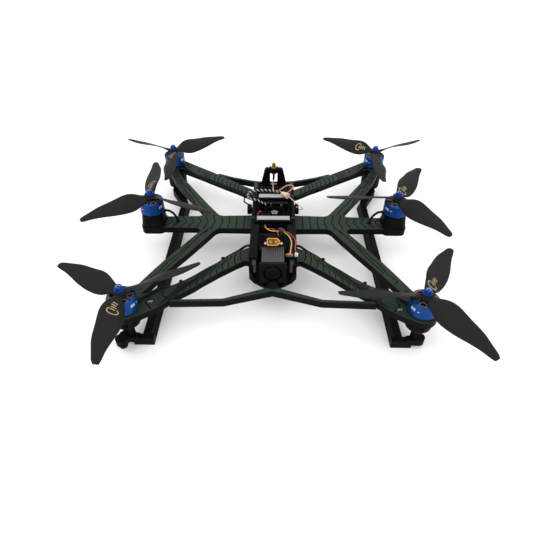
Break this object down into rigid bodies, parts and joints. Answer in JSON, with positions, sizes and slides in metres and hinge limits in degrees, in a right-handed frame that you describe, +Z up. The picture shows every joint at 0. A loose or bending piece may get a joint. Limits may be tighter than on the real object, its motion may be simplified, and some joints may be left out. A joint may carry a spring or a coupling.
{
  "type": "six-rotor camera drone",
  "caption": "Carbon-style flat frame with belly hull, tilting nose camera, guarded electronics bay, landing skids and overlapping three-blade rotors",
  "frame": {"origin": "centre of the flat belly of the hull, midway between the six rotors", "axes": "+Z up along the rotor axes, nose and camera towards -Y, +X to the right when looking from nose to tail"},
  "size_m": [0.5341, 0.5129, 0.1082],
  "materials": {
    "black_plastic": "moulded satin black",
    "green_skin": "thin sage green sheet, satin",
    "grey_foam": "soft grey closed foam",
    "brass_gold": "turned brass, gold plated",
    "camera_black": "fine matte black coat",
    "grey_plastic": "moulded grey",
    "gloss_black": "gloss black",
    "dark_glass": "dark coated glass",
    "grey_aluminium": "bead blasted grey",
    "orange_plastic": "amber moulded nylon",
    "board_green": "dark solder mask",
    "black_metal": "black anodised",
    "copper": "enamelled copper windings",
    "blue_metal": "blue anodised, satin",
    "blade_grey": "smoke grey polycarbonate",
    "black_rubber": "braided black sleeve",
    "pink_rubber": "dusty pink jacket",
    "braid": "woven black and white sleeve",
    "beige_plastic": "beige jacket",
    "yellow_rubber": "soft yellow jacket",
    "red_rubber": "soft red jacket",
    "pale_plastic": "off-white moulded plug",
    "screw_steel": "dark steel heads"
  },
  "bodies": {
    "airframe": {"antenna_connector": "brass_gold", "antenna_sleeve": "beige_plastic", "antenna_wire": "beige_plastic", "arm_front_left": "black_plastic", "arm_front_right": "black_plastic", "arm_mid_left": "black_plastic", "arm_mid_right": "black_plastic", "arm_rear_left": "black_plastic", "arm_rear_right": "black_plastic", "arm_struts": "black_plastic", "battery_pads": "grey_foam", "brace_front": "black_plastic", "brace_rear": "black_plastic", "braided_lead": "braid", "cage_crossbars": "black_plastic", "cage_rails": "black_plastic", "camera_brackets": "grey_aluminium", "coax_lead": "pink_rubber", "corner_post": "black_plastic", "fan_frame": "black_plastic", "fasteners": "screw_steel", "flight_boards": "board_green", "frame_skin": "green_skin", "hull_tray": "black_plastic", "lead_clips": "black_plastic", "motor_bases": "black_metal", "motor_cups": "black_plastic", "motor_leads": "black_rubber", "motor_pods": "black_plastic", "motor_stators": "copper", "power_panel": "black_plastic", "power_pins": "brass_gold", "power_socket": "orange_plastic", "red_lead": "red_rubber", "side_modules": "black_plastic", "skid_left": "black_plastic", "skid_right": "black_plastic", "standoffs": "brass_gold", "tail_bracket": "black_plastic", "video_transmitter": "grey_aluminium", "wire_plugs": "pale_plastic", "yellow_lead": "yellow_rubber", "yellow_loop": "yellow_rubber"},
    "rotor_front_left": {"bell_front_left": "blue_metal", "propeller_front_left": "blade_grey"},
    "rotor_front_right": {"bell_front_right": "blue_metal", "propeller_front_right": "blade_grey"},
    "rotor_mid_left": {"bell_mid_left": "blue_metal", "propeller_mid_left": "blade_grey"},
    "rotor_mid_right": {"bell_mid_right": "blue_metal", "propeller_mid_right": "blade_grey"},
    "rotor_rear_left": {"bell_rear_left": "blue_metal", "propeller_rear_left": "blade_grey"},
    "rotor_rear_right": {"bell_rear_right": "blue_metal", "propeller_rear_right": "blade_grey"},
    "camera": {"camera_body": "camera_black", "camera_lens_ring": "gloss_black", "camera_window": "dark_glass", "camera_heat_sink": "grey_aluminium"},
    "fan": {"fan_rotor": "grey_plastic"}
  },
  "joints": [
    {"name": "spin_front_left", "type": "hinge", "parent": "airframe", "child": "rotor_front_left", "pos_m": [-0.1765, -0.177, 0.038], "axis": [0, 0, 1], "continuous": true},
    {"name": "spin_front_right", "type": "hinge", "parent": "airframe", "child": "rotor_front_right", "pos_m": [0.1765, -0.177, 0.038], "axis": [0, 0, 1], "continuous": true},
    {"name": "spin_mid_left", "type": "hinge", "parent": "airframe", "child": "rotor_mid_left", "pos_m": [-0.1765, 0, 0.056], "axis": [0, 0, 1], "continuous": true},
    {"name": "spin_mid_right", "type": "hinge", "parent": "airframe", "child": "rotor_mid_right", "pos_m": [0.1765, 0, 0.056], "axis": [0, 0, 1], "continuous": true},
    {"name": "spin_rear_left", "type": "hinge", "parent": "airframe", "child": "rotor_rear_left", "pos_m": [-0.1765, 0.177, 0.038], "axis": [0, 0, 1], "continuous": true},
    {"name": "spin_rear_right", "type": "hinge", "parent": "airframe", "child": "rotor_rear_right", "pos_m": [0.1765, 0.177, 0.038], "axis": [0, 0, 1], "continuous": true},
    {"name": "camera_tilt", "type": "hinge", "parent": "airframe", "child": "camera", "pos_m": [0, -0.1089, 0.0195], "axis": [-1, 0, 0], "range_deg": [-8, 10]},
    {"name": "fan_spin", "type": "hinge", "parent": "airframe", "child": "fan", "pos_m": [0.0015, 0.0105, 0.019], "axis": [0, 0, 1], "continuous": true}
  ]
}
